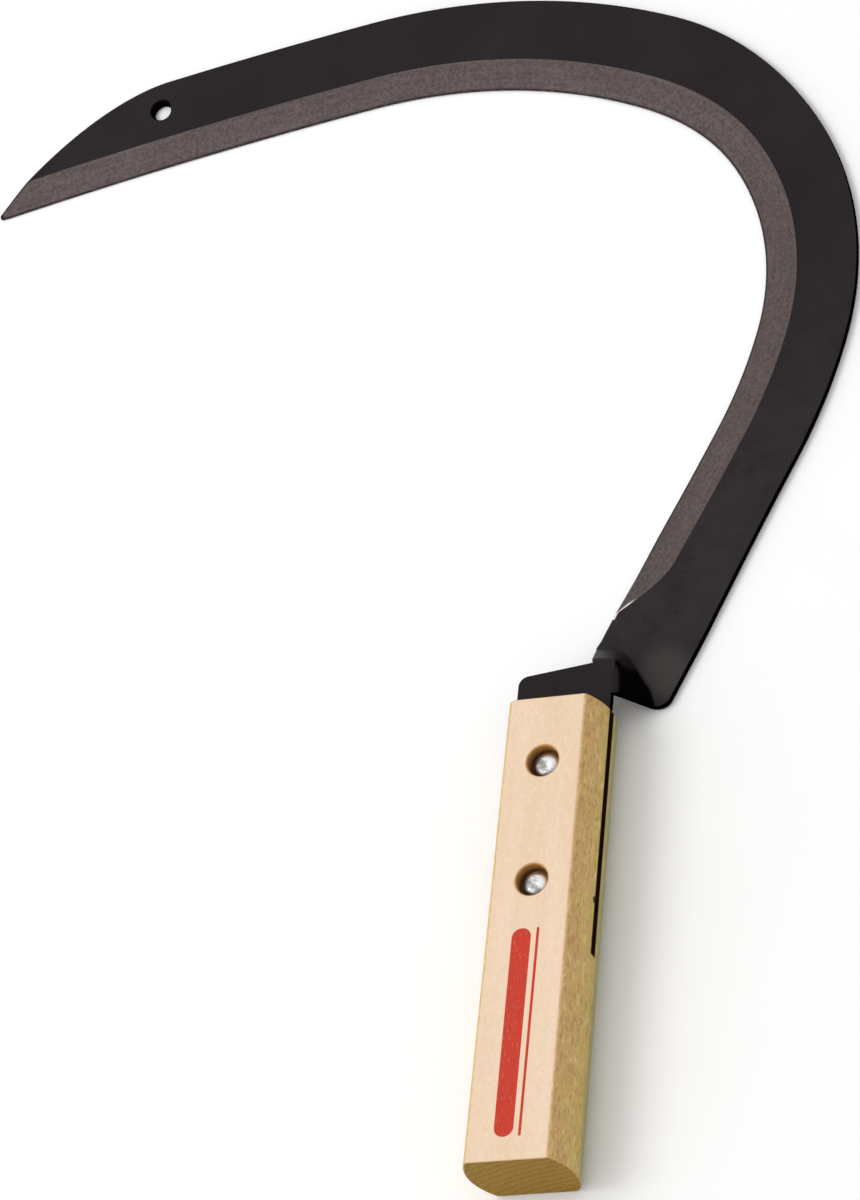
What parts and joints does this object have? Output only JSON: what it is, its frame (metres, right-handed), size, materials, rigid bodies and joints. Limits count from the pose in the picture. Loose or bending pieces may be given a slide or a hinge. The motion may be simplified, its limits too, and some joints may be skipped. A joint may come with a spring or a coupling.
{
  "type": "hand sickle",
  "caption": "Hand sickle: a wide flat steel hook with a ground inner cutting edge, joggled into a tang riveted in the saw kerf of a straight wooden handle.",
  "frame": {"origin": "centre of the handle's flat back, on the plane the sickle lies on, midway along the handle", "axes": "+Y along the handle towards the blade, +X towards the blade's heel, +Z out of the handle's flat front"},
  "size_m": [0.3143, 0.4331, 0.026],
  "materials": {
    "blade_steel": "black enamelled sheet steel, satin, ground bare along the bevel",
    "wood": "clear-varnished beech",
    "rivet_steel": "bright steel",
    "burr_steel": "plain steel"
  },
  "bodies": {
    "root": {"blade": "blade_steel", "handle": "wood", "upper_rivet": "rivet_steel", "lower_rivet": "rivet_steel", "upper_burr": "burr_steel", "lower_burr": "burr_steel"}
  },
  "joints": []
}
